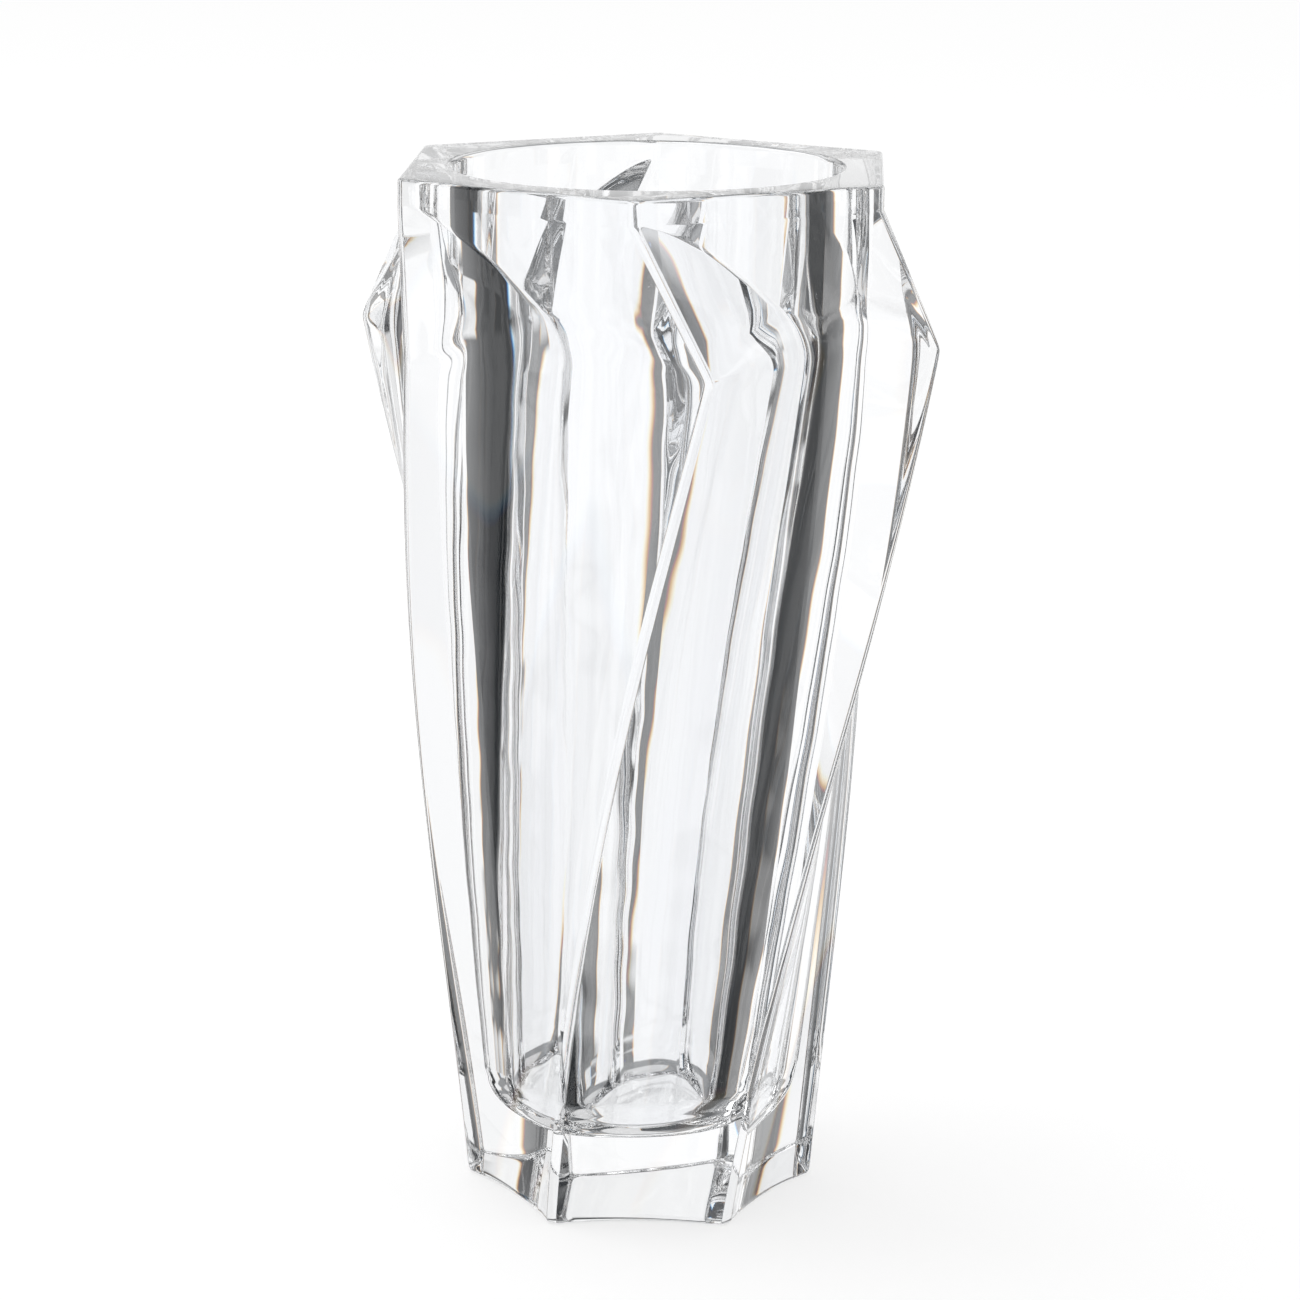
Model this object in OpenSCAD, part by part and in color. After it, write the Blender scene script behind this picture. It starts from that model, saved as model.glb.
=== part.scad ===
// Tall crystal vase in one piece of clear pressed glass.
// Six ridges climb from a hexagonal foot, turn as they rise and end in
// knuckles, above which six upright flats carry a hexagonal rim.
// The frame stands on its foot: +Z is the axis, z = 0 is the resting face.

/* [Overall] */
// Height from the resting face to the rim
height = 305; // [290:1:340]
// Number of ridges and of flats around the vase
sides = 6; // [5:1:7]

/* [Foot] */
// Radius of the foot at its corners
foot_r = 51.3; // [46:0.1:56]
// Bevel between the resting face and the sides
foot_bevel = 2.4; // [0.5:0.1:5]
// Depth of the hollow of each panel at the foot
hollow = 2; // [0:0.1:4]
// How fast that hollow fades on the way up, 1 is evenly
hollow_fade = 2.4; // [1:0.1:5]

/* [Ridges] */
// Radius that the ridges aim at in the lower part of their climb
ridge_r_low = 58.6; // [52:0.1:64]
// Radius that the ridges aim at in the upper part of their climb
ridge_r_high = 76.2; // [70:0.1:82]
// Radius of the knuckles
knuckle_r = 87.4; // [82:0.1:92]
// Height of the knuckles above the resting face
knuckle_z = 257; // [245:1:265]
// Turn that the ridges aim at in the lower part of their climb, in degrees
turn_low = 12.2; // [6:0.1:18]
// Turn that the ridges aim at in the upper part of their climb, in degrees
turn_high = 29.8; // [24:0.1:36]
// Turn of the knuckles from the foot corners, in degrees
knuckle_turn = 41.6; // [36:0.1:46]
// Width of the narrow polished band along each ridge
ridge_w = 3.4; // [1:0.1:5]

/* [Rim] */
// Radius of the rim at its corners
rim_r = 77.3; // [73:0.1:82]
// Turn of the rim corners from the foot corners, in degrees
rim_turn = 27.4; // [22:0.1:32]
// Height of the upright band below the rim
rim_band = 7; // [3:0.5:12]
// Height of the valley between two knuckles, above the knuckles
valley_rise = 7.4; // [4:0.1:11]
// Bow of the shoulder edge from a rim corner down to the valley, 1 is straight
shoulder_bow = 1.45; // [1:0.05:2]
// How late the valley of a panel opens on the way up, 1 is evenly
valley_onset = 1.65; // [1:0.05:3]

/* [Cavity] */
// Radius of the mouth and of the straight neck below it
mouth_r = 55.8; // [50:0.1:60]
// Rounding of the mouth's edge
mouth_round = 1.6; // [0.5:0.1:3]
// Height at which the tapering wall bends into the neck
neck_z = 234; // [215:1:255]
// Radius of that soft bend
neck_round = 160; // [50:10:300]
// Radius of the cavity where its wall meets the rounded floor
floor_r = 36.5; // [28:0.1:39]
// Thickness of the glass below the floor
floor_t = 24; // [15:0.5:40]
// Radius of the rounding between the floor and the wall
floor_round = 9; // [4:0.5:14]

/* [Hidden] */

// Steps of the skin along a ridge, across half a panel and along a shoulder
rise_steps = 24;
half_steps = 3;
shoulder_steps = 8;
// Steps of a quarter arc and of the neck's bend in the cavity's profile
arc_steps = 8;
neck_steps = 3;

pitch = 360 / sides;
band_z = height - rim_band;
valley_z = knuckle_z + valley_rise;
glass_tint = [0.93, 0.95, 0.97, 0.45];

function mix(a, b, s) = a + (b - a) * s;
function polar(r, a, z) = [r * cos(a), r * sin(a), z];

// Cubic curve from a to d with the handles b and c
function climb(a, b, c, d, t) =
    let (s = 1 - t)
    a * s * s * s + 3 * b * s * s * t + 3 * c * s * t * t + d * t * t * t;

// A ridge at the share t of its climb: radius, turn and height
function ridge_r(t) = climb(foot_r, ridge_r_low, ridge_r_high, knuckle_r, t);
function ridge_turn(t) = climb(0, turn_low, turn_high, knuckle_turn, t);
function ridge_z(t) = mix(foot_bevel, knuckle_z, t);

// Half of the ridge band, seen from the axis as an angle
function band_angle(r) = asin(ridge_w / 2 / r);

// A point on the edge of ridge k's band: side -1 is its left edge, 1 its right
function on_ridge(k, t, side) =
    let (r = ridge_r(t))
    polar(r, k * pitch + ridge_turn(t) + side * band_angle(r), ridge_z(t));
function on_rim(k, side, z) =
    polar(rim_r, k * pitch + rim_turn + side * band_angle(rim_r), z);
function on_foot(k, side) =
    polar(foot_r - foot_bevel, k * pitch + side * band_angle(foot_r), 0);
function on_shoulder_ridge(k, s, side) =
    mix(on_rim(k, side, band_z), on_ridge(k, 1, side), s);

// The upright flat of panel k leans a little, so that it reaches the knuckle:
// its distance from the axis at the height z, and its points by offset and height
flat_top = rim_r * cos(pitch / 2 - band_angle(rim_r));
flat_low = knuckle_r * cos(knuckle_turn - rim_turn + pitch / 2 - band_angle(knuckle_r));
function flat_dist(z) = mix(flat_low, flat_top, (z - knuckle_z) / (band_z - knuckle_z));
function flat_point(k, offset, z) =
    let (a = (k + 0.5) * pitch + rim_turn, d = flat_dist(z))
    [d * cos(a) - offset * sin(a), d * sin(a) + offset * cos(a), z];

// The valley of panel k lies on its flat, half way between the two knuckles
valley_offset = flat_dist(valley_z) * tan(knuckle_turn - rim_turn);
corner_offset = -rim_r * sin(pitch / 2 - band_angle(rim_r));
valley_r = flat_dist(valley_z) / cos(knuckle_turn - rim_turn);
function on_shoulder(k, s) = s == 0
    ? on_rim(k, 1, band_z)
    : flat_point(k, mix(corner_offset, valley_offset, s),
                 mix(band_z, valley_z, pow(s, shoulder_bow)));
function valley(k) = on_shoulder(k, 1);

// The crest of panel k: knuckle, valley and next knuckle, with u from 0 to 1
function crest(k, u) = u == 0 ? on_ridge(k, 1, 1)
    : u == 1 ? on_ridge(k + 1, 1, -1)
    : u < 0.5 ? mix(on_ridge(k, 1, 1), valley(k), 2 * u)
    : mix(valley(k), on_ridge(k + 1, 1, -1), 2 * u - 1);

// The panel below the crest: a chord between two ridges that dips to the valley,
// hollowed at the foot by a parabola across it
valley_depth = knuckle_r * cos(pitch / 2 - band_angle(knuckle_r)) - valley_r;
function panel(k, u, t) = t == 1 ? crest(k, u)
    : u == 0 ? on_ridge(k, t, 1)
    : u == 1 ? on_ridge(k + 1, t, -1) :
    let (dip = (1 - abs(2 * u - 1)) * pow(t, valley_onset),
         a = (k + 0.5) * pitch + ridge_turn(t))
    mix(on_ridge(k, t, 1), on_ridge(k + 1, t, -1), u)
    + dip * polar(-valley_depth, a, valley_rise)
    + polar(-hollow * 4 * u * (1 - u) * pow(1 - t, hollow_fade), a, 0);

// The edge of the resting face below panel k, straight from ridge to ridge
function foot_edge(k, u) = u == 1 ? on_foot(k + 1, -1)
    : mix(on_foot(k, 1), on_foot(k + 1, -1), u);

// Two triangles for each cell of a grid of points, rows upwards, columns to the right
function cells(g) = [
    for (i = [0 : len(g) - 2])
        for (j = [0 : len(g[0]) - 2])
            each [
                [g[i][j], g[i + 1][j], g[i + 1][j + 1]],
                [g[i][j], g[i + 1][j + 1], g[i][j + 1]]
            ]
];

function lower_panel(k) = cells([
    for (i = [0 : rise_steps])
        [for (j = [0 : 2 * half_steps]) panel(k, j / (2 * half_steps), i / rise_steps)]
]);

function ridge_band(k) = cells([
    for (i = [0 : rise_steps])
        [for (side = [-1, 1]) on_ridge(k, i / rise_steps, side)]
]);

// The upper part of ridge k, straight from its knuckle to the rim band
function shoulder_band(k) = concat(
    [
        for (i = [0 : shoulder_steps - 1])
            [on_ridge(k, 1, -1), on_shoulder_ridge(k, i / shoulder_steps, 1),
             on_shoulder_ridge(k, (i + 1) / shoulder_steps, 1)]
    ],
    [[on_ridge(k, 1, -1), on_rim(k, -1, band_z), on_rim(k, 1, band_z)]]
);

// The shoulder: straight lines from the upper ridge to the shoulder edge
function shoulder_point(k, i, j) = i == shoulder_steps
    ? crest(k, j / (2 * half_steps))
    : mix(on_shoulder_ridge(k, i / shoulder_steps, 1),
          on_shoulder(k, i / shoulder_steps), j / half_steps);
function shoulder(k) = concat(
    cells([
        for (i = [shoulder_steps : -1 : 1])
            [for (j = [0 : half_steps]) shoulder_point(k, i, j)]
    ]),
    [
        for (j = [0 : half_steps - 1])
            [shoulder_point(k, 1, j), on_rim(k, 1, band_z), shoulder_point(k, 1, j + 1)]
    ]
);

// The upright flat, a fan in one plane from its right rim corner
function upright_flat(k) = concat(
    [
        for (i = [0 : shoulder_steps - 1])
            [on_rim(k + 1, -1, band_z), on_shoulder(k, (i + 1) / shoulder_steps),
             on_shoulder(k, i / shoulder_steps)]
    ],
    [
        for (j = [half_steps : 2 * half_steps - 1])
            [on_rim(k + 1, -1, band_z), crest(k, (j + 1) / (2 * half_steps)),
             crest(k, j / (2 * half_steps))]
    ]
);

// The rim band of ridge k and of the flat to its right
function rim_faces(k) = concat(
    cells([for (z = [band_z, height]) [for (side = [-1, 1]) on_rim(k, side, z)]]),
    cells([for (z = [band_z, height]) [on_rim(k, 1, z), on_rim(k + 1, -1, z)]])
);

// The bevel at the foot, below ridge k and below the panel to its right
function foot_faces(k) = concat(
    cells([
        [for (side = [-1, 1]) on_foot(k, side)],
        [for (side = [-1, 1]) on_ridge(k, 0, side)]
    ]),
    cells([
        [for (j = [0 : 2 * half_steps]) foot_edge(k, j / (2 * half_steps))],
        [for (j = [0 : 2 * half_steps]) panel(k, j / (2 * half_steps), 0)]
    ])
);

// Outlines of the resting face and of the rim
foot_outline = [
    for (k = [0 : sides - 1])
        each concat([on_foot(k, -1)],
                    [for (j = [0 : 2 * half_steps - 1]) foot_edge(k, j / (2 * half_steps))])
];
rim_outline = [for (k = [0 : sides - 1]) for (side = [-1, 1]) on_rim(k, side, height)];
function reversed(list) = [for (i = [len(list) - 1 : -1 : 0]) list[i]];

// A closed skin from polygons that share their edges
module skin(polygons) {
    starts = [for (i = 0, n = 0; i < len(polygons); n = n + len(polygons[i]), i = i + 1) n];
    polyhedron(
        points = [for (p = polygons) each p],
        faces = [
            for (i = [0 : len(polygons) - 1])
                [for (j = [0 : len(polygons[i]) - 1]) starts[i] + j]
        ]
    );
}

module outer_form() {
    skin(concat(
        [for (k = [0 : sides - 1])
            each concat(foot_faces(k), lower_panel(k), ridge_band(k), shoulder(k),
                        shoulder_band(k), upright_flat(k), rim_faces(k))],
        [foot_outline],
        [reversed(rim_outline)]
    ));
}

// Profile of the cavity: rounded floor, tapering wall, straight neck and rounded mouth
module cavity() {
    lean = atan2(mouth_r - floor_r, neck_z - floor_t);
    floor_c = [floor_r - floor_round, floor_t + floor_round];
    neck_c = [mouth_r - neck_round, neck_z + neck_round * tan(lean / 2)];
    mouth_c = [mouth_r + mouth_round, height - mouth_round];
    rotate_extrude($fn = 96)
        polygon(concat(
            [[0, height + 1], [0, floor_t]],
            [for (i = [0 : arc_steps])
                floor_c + floor_round * [sin(i * (90 - lean) / arc_steps),
                                         -cos(i * (90 - lean) / arc_steps)]],
            [for (i = [0 : neck_steps])
                neck_c + neck_round * [cos(lean * (1 - i / neck_steps)),
                                       -sin(lean * (1 - i / neck_steps))]],
            [for (i = [0 : arc_steps])
                mouth_c - mouth_round * [cos(i * 90 / arc_steps), -sin(i * 90 / arc_steps)]],
            [[mouth_c.x, height + 1]]
        ));
}

// The whole vase: the outer form with the cavity taken out from above
module vase_body() {
    color(glass_tint)
        difference() {
            outer_form();
            cavity();
        }
}

vase_body();
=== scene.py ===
import math
import bmesh
import bpy
import numpy as np
from mathutils import Matrix, Vector


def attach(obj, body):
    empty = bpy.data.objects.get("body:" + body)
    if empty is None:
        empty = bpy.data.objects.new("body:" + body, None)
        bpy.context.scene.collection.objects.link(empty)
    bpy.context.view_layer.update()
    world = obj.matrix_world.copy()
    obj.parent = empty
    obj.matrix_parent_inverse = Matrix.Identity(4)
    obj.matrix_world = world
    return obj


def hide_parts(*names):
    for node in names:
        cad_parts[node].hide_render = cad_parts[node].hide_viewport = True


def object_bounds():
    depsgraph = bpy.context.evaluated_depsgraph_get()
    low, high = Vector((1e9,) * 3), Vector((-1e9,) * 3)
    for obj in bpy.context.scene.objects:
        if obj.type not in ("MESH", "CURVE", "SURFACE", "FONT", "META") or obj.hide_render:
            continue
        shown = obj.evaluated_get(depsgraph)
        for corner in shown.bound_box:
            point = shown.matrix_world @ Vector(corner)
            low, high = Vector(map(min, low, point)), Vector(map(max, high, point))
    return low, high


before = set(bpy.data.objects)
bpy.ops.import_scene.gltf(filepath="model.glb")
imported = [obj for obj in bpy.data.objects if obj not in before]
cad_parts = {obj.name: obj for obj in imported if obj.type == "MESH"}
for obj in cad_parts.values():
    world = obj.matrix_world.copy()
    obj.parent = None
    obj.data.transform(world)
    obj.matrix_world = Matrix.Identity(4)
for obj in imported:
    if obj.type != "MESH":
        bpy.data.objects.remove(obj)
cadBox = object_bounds()
scene = bpy.context.scene
mm = 0.001  # the vase is worked out in millimetres, Blender takes metres
print("frame loaded, height", round(cadBox[1].z, 4), "m")


# Camera, as fitted to the photo

cameraSet = dict(
    place=(0.0, -1.2219, 0.45966),  # metres, in the frame of the vase
    pan=0.098,        # degrees to the right of +Y
    pitch=13.685,     # degrees downwards
    roll=0.454,       # degrees, lifts the right side
    focalPixels=4280.2,
    photoPixels=1300,
    sensorWidth=36.0,
    clipEnd=60.0,
)


def makeCamera(c):
    # a camera's own axes are right, up and back; the roll turns right and up about the view
    pan, pitch, roll = (math.radians(c[key]) for key in ("pan", "pitch", "roll"))
    flat = Vector((math.sin(pan), math.cos(pan), 0)) * math.cos(pitch)
    ahead = flat - Vector((0, 0, math.sin(pitch)))
    right = ahead.cross(Vector((0, 0, 1))).normalized()
    up = right.cross(ahead)
    rightRolled = math.cos(roll) * right + math.sin(roll) * up
    upRolled = math.cos(roll) * up - math.sin(roll) * right
    data = bpy.data.cameras.new("photoCamera")
    data.sensor_width = c["sensorWidth"]
    data.lens = c["focalPixels"] * c["sensorWidth"] / c["photoPixels"]
    data.clip_end = c["clipEnd"]
    camera = bpy.data.objects.new("photoCamera", data)
    turn = Matrix((rightRolled, upRolled, -ahead)).transposed().to_4x4()
    camera.matrix_world = Matrix.Translation(Vector(c["place"])) @ turn
    scene.collection.objects.link(camera)
    scene.camera = camera


makeCamera(cameraSet)
print("camera ready")


# Shader nodes as expressions

class Wire:
    # one output of a node; arithmetic on it adds Math nodes to its tree

    def __init__(self, tree, socket=None):
        self.tree = tree
        self.socket = socket

    def node(self, kind, settings=None, sockets=None, output=0):
        # any node: its settings come first, then a value or a wire for each socket named
        made = self.tree.nodes.new("ShaderNode" + kind)
        for name, value in (settings or {}).items():
            setattr(made, name, value)
        for name, value in (sockets or {}).items():
            if isinstance(value, Wire):
                self.tree.links.new(value.socket, made.inputs[name])
            else:
                made.inputs[name].default_value = value
        return Wire(self.tree, made.outputs[output] if len(made.outputs) else None)

    def out(self, name):
        # another output of the same node
        return Wire(self.tree, self.socket.node.outputs[name])

    def maths(self, operation, *values):
        # one Math node, with a value or a wire for each input
        return self.node("Math", {"operation": operation}, dict(enumerate(values)))

    def __add__(self, other):
        return self.maths("ADD", self, other)

    def __radd__(self, other):
        return self.maths("ADD", other, self)

    def __sub__(self, other):
        return self.maths("SUBTRACT", self, other)

    def __rsub__(self, other):
        return self.maths("SUBTRACT", other, self)

    def __mul__(self, other):
        return self.maths("MULTIPLY", self, other)

    def __rmul__(self, other):
        return self.maths("MULTIPLY", other, self)

    def rise(self, low, high):
        # 0 below low, 1 above high, a smooth step between
        ends = {"Value": self, "From Min": low, "From Max": high}
        return self.node("MapRange", {"interpolation_type": "SMOOTHSTEP"}, ends)

    def between(self, low, high, soft):
        # 1 between low and high, with soft ends
        return self.rise(low - soft, low + soft) * (1 - self.rise(high - soft, high + soft))


def emptyTree(owner):
    # clears the owner's nodes and gives a wire to start from
    owner.use_nodes = True
    owner.node_tree.nodes.clear()
    return Wire(owner.node_tree)


# Vase, in one piece of pressed glass

vaseSet = dict(
    # millimetres and degrees
    sides=6, height=305.0,
    footR=51.3, footBevel=1.3, footRound=3.4,  # to the corners; width and height of the rounding below
    ridgeLowR=58.6, ridgeHighR=76.2, turnLow=12.2, turnHigh=29.8,  # handles of a ridge's curves
    ridgeW=3.4, ridgeRound=0.3,        # width of a ridge's edge, and the share of it that rounds it
    knuckleR=87.4, knuckleZ=257.0, knuckleTurn=41.6,
    rimR=77.3, rimTurn=27.4, rimBand=7.0, rimRound=1.3,
    valleyRise=7.4, valleyOnset=1.65,  # how far a valley ends above the knuckles, and how late it opens
    shoulderBow=1.45,                  # how deeply the edge between shoulder and flat bows
    hollow=2.4, hollowFade=2.4,        # depth of a panel's hollow at the foot, and how fast it fades
    pillow=1.3, pillowOnset=2.5,       # swelling of a half panel at the knuckles, and how late it comes
    crestSoft=7.0,                     # half height of the rounding along knuckle, valley, knuckle
    crestTip=6.0, crestTipShare=0.35,  # how much crisper a knuckle is, over what share of a half panel
    foldSoft=0.36, edgeSoft=0.04,      # shares of half panel and shoulder that their roundings take
    mouthR=55.8, mouthRound=1.6,
    neckZ=234.0, neckSoft=1.2,         # where the neck begins, and how softly the wall bends into it
    floorR=36.5, floorT=24.0, floorRound=9.0,
    ripple=0.15,                       # waviness left by the press in the cavity's wall
    # each wave: its share, millimetres per radian, times round the wall, phase
    rippleWaves=[(0.5, 7.5, 2, 0.6), (0.3, 4.6, -3, 1.9), (0.2, 2.9, 5, 4.1)],
    rippleMouth=4.0, rippleFade=20.0,  # it stops this far below the mouth, and fades over this height
    baseSteps=5, footSteps=7, riseSteps=90, crestSteps=12, shoulderSteps=26, edgeSteps=6,
    mouthSteps=6, wallSteps=119, bowlSteps=12, floorSteps=6,
    arcSteps=5, halfSteps=10, foldSteps=8,
    shoulderEase=0.8,                  # below 1 the shoulders' rows draw closer towards the rim
)


def mix(a, b, s):
    # the share s of the way from a to b
    return a + (b - a) * s


def steps(count):
    # even shares from 0 to 1
    return np.linspace(0, 1, count + 1)


def unit(v):
    # vectors divided by their own lengths
    tiny = 1e-12  # stands in for a length of 0
    return v / np.maximum(np.linalg.norm(v, axis=-1, keepdims=True), tiny)


def bezier(a, b, c, d, t):
    # cubic curve from a to d with the handles b and c
    s = 1 - t
    return a * s**3 + 3 * b * s * s * t + 3 * c * s * t * t + d * t**3


def bend(a, corner, b, q, pull=1.0):
    # quadratic curve from a to b that rounds off the corner between them; pull draws it to the corner
    start, middle, end = (1 - q) ** 2, 2 * pull * q * (1 - q), q * q
    return (a * start + corner * middle + b * end) / (start + middle + end)


def polar(r, degrees, z):
    # points at a radius, an angle and a height
    a = np.radians(degrees)
    return np.stack(np.broadcast_arrays(r * np.cos(a), r * np.sin(a), z), axis=-1)


def turned(points, degrees):
    # points turned about the upright axis
    c, s = math.cos(math.radians(degrees)), math.sin(math.radians(degrees))
    return points @ np.array([[c, s, 0], [-s, c, 0], [0, 0, 1]])


def inset(row, width):
    # a row drawn in towards the axis by a width
    r = np.linalg.norm(row[..., :2], axis=-1, keepdims=True)
    return np.concatenate([row[..., :2] * (1 - width / r), row[..., 2:]], axis=-1)


class VaseForm:
    # the vase's skin in millimetres: one sixth of it as rows of columns, turned round to close

    def __init__(self, v):
        self.v = v
        self.pitch = 360.0 / v["sides"]  # degrees from one ridge to the next
        self.bandZ = v["height"] - v["rimBand"]
        self.valleyZ = v["knuckleZ"] + v["valleyRise"]
        lean = v["knuckleTurn"] - v["rimTurn"]
        rimAngle = self.bandAngle(v["rimR"])
        knuckleAngle = self.bandAngle(v["knuckleR"])
        self.flatTop = v["rimR"] * math.cos(math.radians(self.pitch / 2 - rimAngle))
        self.flatLow = v["knuckleR"] * math.cos(math.radians(lean + self.pitch / 2 - knuckleAngle))
        self.cornerOffset = -v["rimR"] * math.sin(math.radians(self.pitch / 2 - rimAngle))
        valleyDist = self.flatDist(self.valleyZ)
        self.valleyOffset = valleyDist * math.tan(math.radians(lean))
        valleyR = valleyDist / math.cos(math.radians(lean))
        chordR = v["knuckleR"] * math.cos(math.radians(self.pitch / 2 - knuckleAngle))
        self.valleyDepth = chordR - valleyR

    def bandAngle(self, r):
        # half of a ridge's rounded edge, seen from the axis, in degrees
        return np.degrees(np.arcsin(self.v["ridgeW"] / 2 / r))

    def flatDist(self, z):
        # distance of an upright flat from the axis: straight from the knuckle's height to the rim band
        share = (z - self.v["knuckleZ"]) / (self.bandZ - self.v["knuckleZ"])
        return mix(self.flatLow, self.flatTop, share)

    def ridgeTurn(self, t):
        # degrees by which a ridge has turned since the foot, on a cubic curve
        v = self.v
        return bezier(0.0, v["turnLow"], v["turnHigh"], v["knuckleTurn"], t)

    def ridge(self, t, side):
        # a ridge's edge line: radius and turn climb on cubic curves while the height rises evenly
        v = self.v
        r = bezier(v["footR"], v["ridgeLowR"], v["ridgeHighR"], v["knuckleR"], t)
        turn = self.ridgeTurn(t) + side * self.bandAngle(r)
        return polar(r, turn, mix(v["footBevel"], v["knuckleZ"], t))

    def rim(self, side, z):
        # where a ridge's edge meets the rim: a fixed radius and turn at any height
        v = self.v
        return polar(v["rimR"], v["rimTurn"] + side * self.bandAngle(v["rimR"]), z)

    def valleyLine(self, t):
        # middle of a lower panel: the chord between its two ridges, dipping inwards and up as it rises
        v = self.v
        chord = (self.ridge(t, 1) + turned(self.ridge(t, -1), self.pitch)) / 2
        dip = polar(-self.valleyDepth, self.pitch / 2 + self.ridgeTurn(t), v["valleyRise"])
        return chord + (t ** v["valleyOnset"])[:, None] * dip

    def shoulderLine(self, s):
        # edge between shoulder and flat, on the flat's plane: even sideways, bowed downwards
        v = self.v
        offset = mix(self.cornerOffset, self.valleyOffset, s)
        z = mix(self.bandZ, self.valleyZ, s ** v["shoulderBow"])
        a = math.radians(self.pitch / 2 + v["rimTurn"])
        d = self.flatDist(z)
        x = d * math.cos(a) - offset * math.sin(a)
        y = d * math.sin(a) + offset * math.cos(a)
        return np.stack([x, y, z], axis=-1)

    def sector(self, left, right, middle, soft, leftTangent=None, rightTangent=None):
        # rows of one sixth: half a ridge, half a panel, the rounded fold, half a panel, half a ridge
        v = self.v
        nextLeft = turned(left, self.pitch)
        tangentL = unit(left - turned(middle, -self.pitch)) if leftTangent is None else leftTangent
        tangentR = unit(right - middle) if rightTangent is None else rightTangent
        handle = v["ridgeRound"] * np.linalg.norm(right - left, axis=-1, keepdims=True)
        arc = steps(2 * v["arcSteps"])[None, :, None]
        ridge = bezier(left[:, None], (left + handle * tangentL)[:, None],
                       (right + handle * tangentR)[:, None], right[:, None], arc)
        half = steps(v["halfSteps"])[None, :, None]
        foldStart = mix(right, middle, 1 - soft)[:, None]
        foldEnd = mix(middle, nextLeft, soft)[:, None]
        q = steps(v["foldSteps"])[None, 1:-1, None]
        return np.concatenate([
            ridge[:, v["arcSteps"]:-1],
            mix(right[:, None], foldStart, half),
            bend(foldStart, middle[:, None], foldEnd, q),
            mix(foldEnd, nextLeft[:, None], half),
            turned(ridge[:, 1:v["arcSteps"]], self.pitch),
        ], axis=1)

    def panelShare(self, soft):
        # for each column of a sector, its share of the way from a ridge to the fold
        v = self.v
        ridge = np.zeros(v["arcSteps"])
        half = (1 - soft) * steps(v["halfSteps"])
        fold = 1 - soft * np.abs(1 - 2 * steps(v["foldSteps"])[1:-1])
        return np.concatenate([ridge, half, fold, half[::-1], ridge[1:]])

    def lowerRows(self, t):
        # panels between the ridges, from the foot (t = 0) to the knuckles (t = 1): a parabola across a
        # panel hollows it towards the foot, one across a half panel swells it towards the knuckles
        v = self.v
        rows = self.sector(self.ridge(t, -1), self.ridge(t, 1), self.valleyLine(t), v["foldSoft"])
        u = self.panelShare(v["foldSoft"])
        hollow = v["hollow"] * np.outer((1 - t) ** v["hollowFade"], u * (2 - u))
        pillow = v["pillow"] * np.outer(t ** v["pillowOnset"], 4 * u * (1 - u))
        outwards = polar(1.0, self.pitch / 2 + self.ridgeTurn(t), 0 * t)
        return rows + outwards[:, None] * (pillow - hollow)[:, :, None]

    def upperRows(self, s):
        # shoulders and flats, from the rim band (s = 0) to the knuckles (s = 1)
        one = np.ones_like(s)
        left = mix(self.rim(-1, self.bandZ), self.ridge(one, -1), s[:, None])
        right = mix(self.rim(1, self.bandZ), self.ridge(one, 1), s[:, None])
        return self.sector(left, right, self.shoulderLine(s), self.v["edgeSoft"])

    def rimRows(self, z):
        # the upright band below the rim, where the shoulder has no width
        one = np.ones_like(z)
        left, right = self.rim(-one, z), self.rim(one, z)
        across = unit(right - turned(left, self.pitch))
        back = unit(left - turned(right, -self.pitch))
        return self.sector(left, right, right.copy(), 0.0, back, across)

    def footRows(self, lowest):
        # the resting face from its centre outwards, then the rounding up to the panels' lowest row
        v = self.v
        corner = self.lowerRows(np.zeros(1)) * np.array([1, 1, 0])
        foot = inset(corner, v["footBevel"])
        base = foot * steps(v["baseSteps"])[:-1, None, None]
        rounding = bend(foot, corner, lowest, steps(v["footSteps"])[:-1, None, None])
        return np.concatenate([base, rounding])

    def crestRows(self, below, above):
        # the rounding along knuckle, valley, knuckle, crisper towards a knuckle
        v = self.v
        crest = self.lowerRows(np.ones(1))
        away = np.clip(self.panelShare(v["foldSoft"]) / v["crestTipShare"], 0, 1)
        pull = mix(v["crestTip"], 1.0, away)[None, :, None]
        return bend(below, crest, above, steps(v["crestSteps"])[1:-1, None, None], pull)

    def bandRows(self):
        # the rim's upright band, then the rounding onto the rim's face
        v = self.v
        band = self.rimRows(np.array([self.bandZ, v["height"] - v["rimRound"]]))
        edge = self.rimRows(np.array([v["height"]]))
        top = inset(edge, v["rimRound"])
        rounding = bend(band[-1:], edge, top, steps(v["edgeSteps"])[1:, None, None])
        return np.concatenate([band, rounding])

    def rows(self):
        # all rows in order: resting face, foot, panels, crest, shoulders, rim, cavity, floor
        v = self.v
        ridgeRise = v["knuckleZ"] - v["footBevel"]
        footShare = (v["footRound"] - v["footBevel"]) / ridgeRise
        crestShare = v["crestSoft"] / ridgeRise
        shoulderShare = v["crestSoft"] / (self.bandZ - v["knuckleZ"])
        rise = mix(footShare, 1 - crestShare, steps(v["riseSteps"]))
        fall = mix(1 - shoulderShare, 0.0, steps(v["shoulderSteps"]) ** v["shoulderEase"])
        lower, upper = self.lowerRows(rise), self.upperRows(fall)
        crest = self.crestRows(lower[-1:], upper[:1])
        outer = np.concatenate([self.footRows(lower[:1]), lower, crest, upper[:-1], self.bandRows()])
        rings = np.concatenate([turned(outer, k * self.pitch) for k in range(v["sides"])], axis=1)
        return np.concatenate([rings, self.cavityRows(rings[-1])])

    def wallRadius(self, z):
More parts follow.
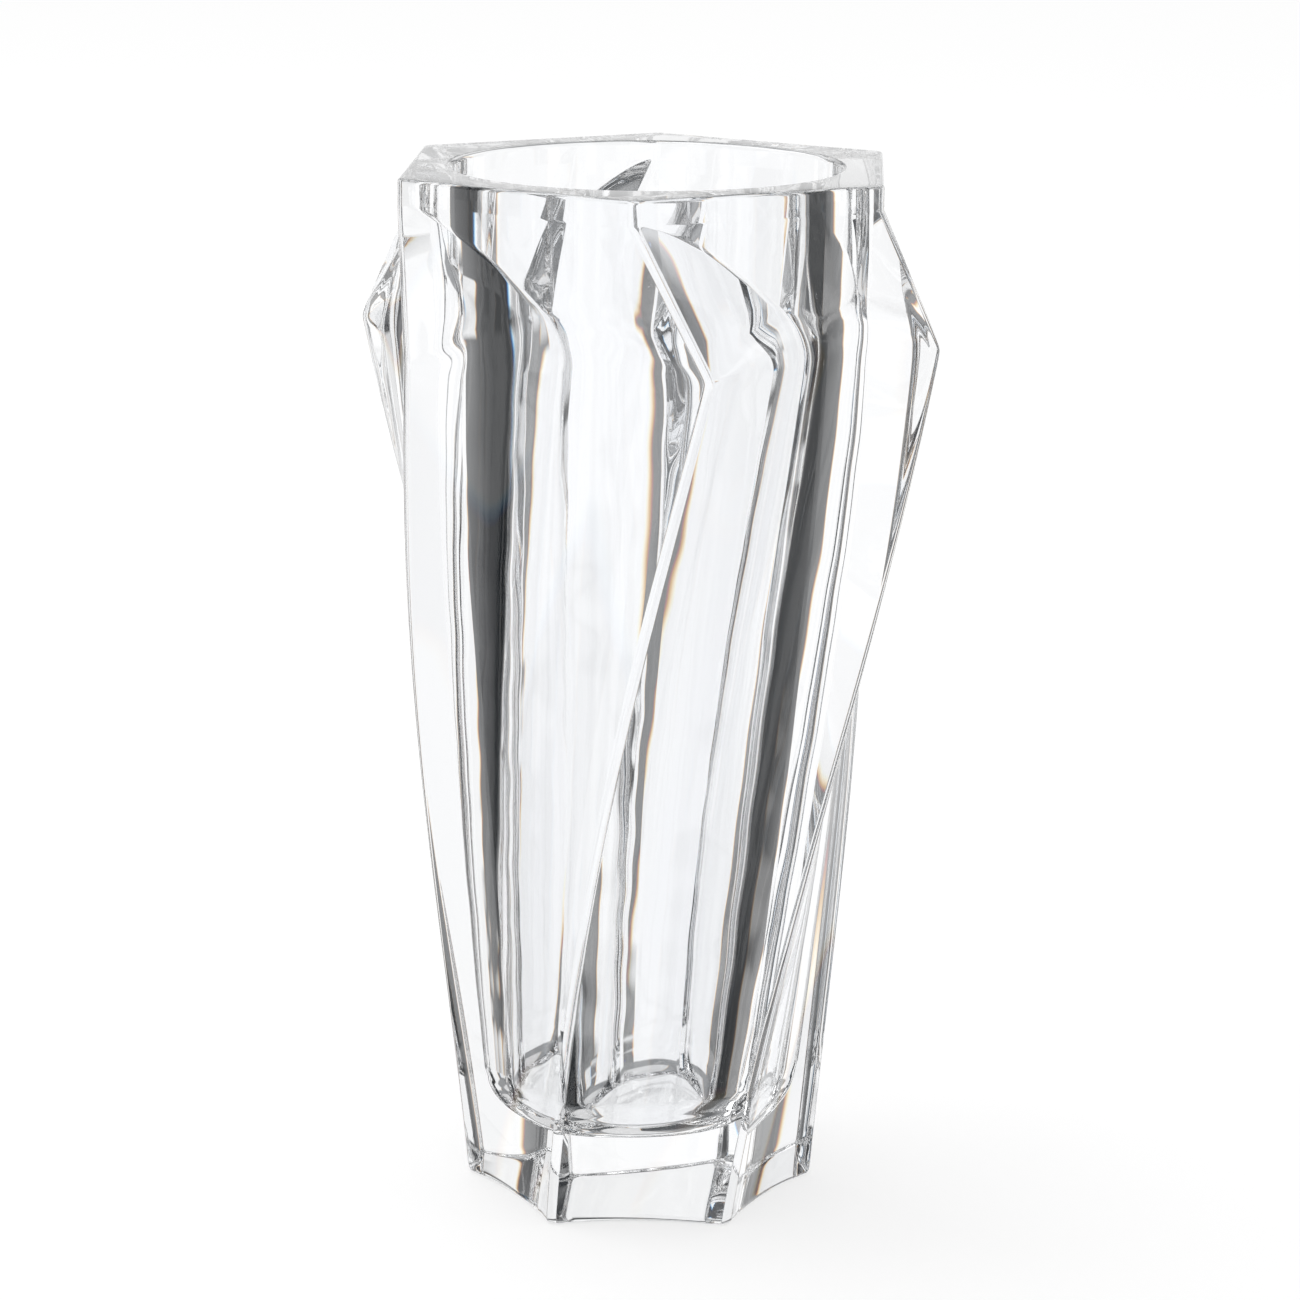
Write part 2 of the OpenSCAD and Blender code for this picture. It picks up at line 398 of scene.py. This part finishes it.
        # a straight taper from the floor's radius that bends softly into the neck's radius
        v = self.v
        taper = mix(v["floorR"], v["mouthR"], (z - v["floorT"]) / (v["neckZ"] - v["floorT"]))
        return v["mouthR"] - v["neckSoft"] * np.logaddexp(0, (v["mouthR"] - taper) / v["neckSoft"])

    def rippleAt(self, z, around):
        # slow sine waves that run up and round the wall, dying out towards the mouth and the floor
        v = self.v
        a = np.arctan2(around[:, 1], around[:, 0])[None, :]
        z = z[:, None]
        wave = sum(share * np.sin(z / length + turns * a + phase)
                   for share, length, turns, phase in v["rippleWaves"])
        belowMouth = np.clip((v["height"] - v["rippleMouth"] - z) / v["rippleFade"], 0, 1)
        aboveFloor = np.clip((z - v["floorT"] - v["floorRound"]) / v["rippleFade"], 0, 1)
        return v["ripple"] * wave * belowMouth * aboveFloor

    def cavityRows(self, rimRing):
        # a turned profile at the rim ring's own angles: rim face, mouth, wall, rounded floor, centre
        v = self.v
        lean = math.atan2(v["mouthR"] - v["floorR"], v["neckZ"] - v["floorT"])
        mouthArc = math.pi / 2 * steps(v["mouthSteps"])
        mouth = np.stack([v["mouthR"] + v["mouthRound"] * (1 - np.sin(mouthArc)),
                          v["height"] - v["mouthRound"] * (1 - np.cos(mouthArc))], axis=-1)
        floorArc = np.linspace(math.pi / 2 - lean, 0, v["bowlSteps"] + 1)
        floorC = np.array([v["floorR"] - v["floorRound"], v["floorT"] + v["floorRound"]])
        bowl = floorC + v["floorRound"] * np.stack([np.sin(floorArc), -np.cos(floorArc)], axis=-1)
        wallZ = np.linspace(mouth[-1, 1], bowl[0, 1], v["wallSteps"] + 1)[1:-1]
        wall = np.stack([self.wallRadius(wallZ), wallZ], axis=-1)
        floor = mix(bowl[-1], np.array([0.0, v["floorT"]]), steps(v["floorSteps"])[1:, None])
        profile = np.concatenate([mouth, wall, bowl, floor])
        around = unit(rimRing[:, :2])
        z = profile[:, 1]
        r = profile[:, :1] + self.rippleAt(z, around)
        rows = np.concatenate([r[:, :, None] * around[None],
                               np.broadcast_to(z[:, None, None], (len(z), len(around), 1))], axis=-1)
        face = (rimRing + rows[0]) / 2
        return np.concatenate([face[None], rows])


def gridMesh(name, rows):
    # closes a grid round its columns, merges the points that coincide and drops empty faces
    merge = 0.002 * mm  # points nearer than this become one
    count, columns = rows.shape[:2]
    index = np.arange(count * columns).reshape(count, columns)
    onward = np.roll(index, -1, axis=1)
    quads = np.stack([index[:-1], onward[:-1], onward[1:], index[1:]], axis=-1).reshape(-1, 4)
    mesh = bpy.data.meshes.new(name)
    mesh.from_pydata((rows.reshape(-1, 3) * mm).tolist(), [], quads.tolist())
    shape = bmesh.new()
    shape.from_mesh(mesh)
    bmesh.ops.remove_doubles(shape, verts=shape.verts, dist=merge)
    bmesh.ops.dissolve_degenerate(shape, edges=shape.edges, dist=merge)
    shape.to_mesh(mesh)
    shape.free()
    mesh.shade_smooth()
    piece = bpy.data.objects.new(name, mesh)
    scene.collection.objects.link(piece)
    return piece


vase = gridMesh("crystalVase", VaseForm(vaseSet).rows())
weighted = vase.modifiers.new("evenNormals", "WEIGHTED_NORMAL")
weighted.mode = "FACE_AREA_WITH_ANGLE"
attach(vase, "root")
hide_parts("vase_body")
print("vase built,", len(vase.data.polygons), "faces")


# Clear glass: a trace of cool tint, drawn cords, press waviness and a worn resting face

glassSet = dict(
    tint=(0.98, 0.985, 0.99, 1), cordTint=(0.96, 0.967, 0.98, 1),
    ior=1.545,
    cordsPerMetre=26.0, cordStretch=0.22, cordSpread=(0.35, 0.65),  # cords of glass run up the vase
    wearRough=0.03, wearHeight=0.0006,        # the resting face is scuffed up to this height, in metres
    scuffsPerMetre=420.0, scuffSpread=(0.35, 0.6),
    wavesPerMetre=34.0, waveDepth=0.00003,    # waviness of the pressed surface, its depth in metres
)


def makeGlass(g):
    glass = bpy.data.materials.new("clearCrystal")
    start = emptyTree(glass)
    place = start.node("TexCoord", output="Object")
    height = place.node("SeparateXYZ", sockets={0: place}, output="Z")
    stretch = g["cordsPerMetre"] * g["cordStretch"]
    drawn = place.node("Mapping", sockets={
        "Vector": place, "Scale": (g["cordsPerMetre"], g["cordsPerMetre"], stretch)})
    cords = drawn.node("TexNoise", sockets={"Vector": drawn, "Scale": 1.0, "Detail": 3.0})
    colour = cords.node("Mix", {"data_type": "RGBA"}, {
        "Factor": cords.rise(*g["cordSpread"]), "A": g["tint"], "B": g["cordTint"]}, output="Result")
    scuff = place.node("TexNoise", sockets={
        "Vector": place, "Scale": g["scuffsPerMetre"], "Detail": 4.0})
    wear = scuff.rise(*g["scuffSpread"]) * (1 - height.rise(0.0, g["wearHeight"]))
    waves = place.node("TexNoise", sockets={
        "Vector": place, "Scale": g["wavesPerMetre"], "Detail": 1.0})
    bump = waves.node("Bump", sockets={
        "Strength": 1.0, "Distance": g["waveDepth"], "Height": waves}, output="Normal")
    shader = start.node("BsdfPrincipled", sockets={
        "Base Color": colour, "Roughness": g["wearRough"] * wear, "Normal": bump,
        "IOR": g["ior"], "Transmission Weight": 1.0})
    start.node("OutputMaterial", sockets={"Surface": shader})
    return glass


vase.data.materials.append(makeGlass(glassSet))
print("glass ready")


# Studio: white all round for the eye; what the glass bends is a dim room with white cards in it

studioSet = dict(
    cards=[
        # aside: degrees left of straight ahead, as seen through the vase; up: degrees above the
        # horizon; soft: half width of the upper and lower edge
        dict(aside=(-46.5, 40.5), up=(-18.0, 9.0), soft=2.0, white=1.0),     # backdrop
        dict(aside=(-46.5, 31.5), up=(-40.0, -15.0), soft=2.0, white=1.0),   # floor before the backdrop
        dict(aside=(27.0, 46.0), up=(-25.5, -19.5), soft=3.0, white=0.75),   # floor at its left, far
        dict(aside=(44.0, 62.0), up=(-36.0, -23.0), soft=2.5, white=0.85),   # and near
        dict(aside=(-80.0, -44.0), up=(-34.0, -20.0), soft=4.0, white=0.25),  # floor at its right
        dict(aside=(-106.0, -60.0), up=(7.0, 17.0), soft=2.5, white=0.7),    # wall at the right
        dict(aside=(86.0, 108.0), up=(-3.5, 10.0), soft=2.5, white=1.0),     # wall at the left
        dict(aside=(106.0, 245.0), up=(-24.0, 2.0), soft=2.5, white=1.0),    # wall behind the camera
        dict(aside=(150.0, 182.0), up=(-36.0, -20.0), soft=2.5, white=1.0),  # floor before that wall
        dict(aside=(156.0, 245.0), up=(-14.0, 20.0), soft=12.0, white=1.0),  # softbox behind the camera
        dict(aside=(138.0, 182.0), up=(5.0, 50.0), soft=6.0, white=1.0),     # and over it
        # painted shadow: the glass sees the floor below the vase dimmer, standing in for the vase's own
        # shadow on it
        dict(aside=(-30.0, 180.0), up=(-95.0, -50.0), soft=2.5, white=0.75),  # floor near the foot
        dict(aside=(-50.0, 50.0), up=(13.5, 40.0), soft=2.0, white=0.9),     # softbox over the backdrop
    ],
    softAside=2.0,             # half width of a card's left and right edge
    wrapAt=250.0,              # where the count of degrees starts afresh, in a gap between two cards
    under=(0.1, 0.105, 0.11), level=(0.014, 0.016, 0.018), over=(0.04, 0.043, 0.047),
    underTo=-38.0, overFrom=8.0, roomSoft=4.0,  # the room is shaded below, around and above
    gain=1.05,                 # brightness of all that the glass shows
    spill=0.24, spillTo=86.0,  # light that spills round the backdrop's edge, and how far
    fringe=0.6,                # degrees by which red and blue part at a card's edge
)


def makeStudio(s):
    world = bpy.data.worlds.new("studio")
    start = emptyTree(world)
    degree = math.degrees(1)
    fullTurn = 360
    straightAhead = 90  # azimuth of +Y
    ray = start.node("TexCoord", output="Generated")
    axes = ray.node("SeparateXYZ", sockets={0: ray})
    azimuth = axes.maths("ARCTAN2", axes.out("Y"), axes.out("X")) * degree
    aside = azimuth.maths("WRAP", azimuth - straightAhead, s["wrapAt"], s["wrapAt"] - fullTurn)
    up = axes.maths("ARCSINE", axes.out("Z")) * degree
    soft = s["roomSoft"]
    aboveFloor = up.rise(s["underTo"] - soft, s["underTo"] + soft)
    overhead = up.rise(s["overFrom"] - soft, s["overFrom"] + soft)
    apart = aside.maths("SIGN", aside) * s["fringe"]
    backdrop = s["cards"][0]
    far = aside.maths("ABSOLUTE", aside).rise(backdrop["aside"][1], s["spillTo"])
    spill = s["spill"] * (1 - far) * (1 - overhead)
    channels = []
    # red, green and blue, which see the cards' edges a little apart
    for part, under, level, over in zip((-1, 0, 1), s["under"], s["level"], s["over"]):
        seen = under + (level - under) * aboveFloor + (over - level) * overhead + spill
        for card in s["cards"]:
            across = (aside + part * apart).between(*card["aside"], s["softAside"])
            lit = across * up.between(*card["up"], card["soft"]) * card["white"]
            seen = seen.maths("MAXIMUM", seen, lit)
        channels.append(seen * s["gain"])
    colour = start.node("CombineColor", sockets=dict(enumerate(channels)))
    path = start.node("LightPath", output="Is Transmission Ray")
    inGlass = path.maths("MAXIMUM", path, path.out("Is Glossy Ray"))
    shown = colour.node("Mix", {"data_type": "RGBA"}, {
        "Factor": inGlass, "A": (1, 1, 1, 1), "B": colour}, output="Result")
    light = shown.node("Background", sockets={"Color": shown, "Strength": 1.0})
    start.node("OutputWorld", sockets={"Surface": light})
    scene.world = world


makeStudio(studioSet)

floorSet = dict(
    half=15.0, drop=0.0003,  # metres; the drop keeps it clear of the resting face
    white=0.9,
    shadowShare=0.3,         # share that is lit
)


def makeFloor(f):
    # a plain white floor: partly its own glow, partly lit, so that the vase's shadow shows on it
    mesh = bpy.data.meshes.new("floor")
    h, z = f["half"], -f["drop"]
    mesh.from_pydata([(-h, -h, z), (h, -h, z), (h, h, z), (-h, h, z)], [], [(0, 1, 2, 3)])
    floor = bpy.data.objects.new("floor", mesh)
    scene.collection.objects.link(floor)
    # the glass shows the studio's own floor
    floor.visible_transmission = False
    floor.visible_glossy = False
    paint = bpy.data.materials.new("whiteFloor")
    start = emptyTree(paint)
    lit = start.node("BsdfDiffuse", sockets={"Color": (f["white"],) * 3 + (1,)})
    glow = start.node("Emission")
    both = start.node("MixShader", sockets={0: f["shadowShare"], 1: glow, 2: lit})
    start.node("OutputMaterial", sockets={"Surface": both})
    mesh.materials.append(paint)


makeFloor(floorSet)

lampSet = dict(size=2.4, power=38.0, place=(-1.2, 0.6, 2.6))  # metres and watts


def makeLamp(p):
    # one large softbox, above and to the left, aimed at the middle of the vase
    data = bpy.data.lights.new("softbox", "AREA")
    data.size = p["size"]
    data.energy = p["power"]
    lamp = bpy.data.objects.new("softbox", data)
    place = Vector(p["place"])
    aim = Vector((0, 0, cadBox[1].z / 2)) - place
    turn = aim.to_track_quat("-Z", "Y").to_matrix().to_4x4()
    lamp.matrix_world = Matrix.Translation(place) @ turn
    lamp.visible_camera = False
    scene.collection.objects.link(lamp)


makeLamp(lampSet)
print("studio ready")

scene.view_settings.view_transform = "Standard"
# light needs many bounces to find its way out of the glass
scene.cycles.max_bounces = 32
scene.cycles.transmission_bounces = 32
scene.cycles.glossy_bounces = 16
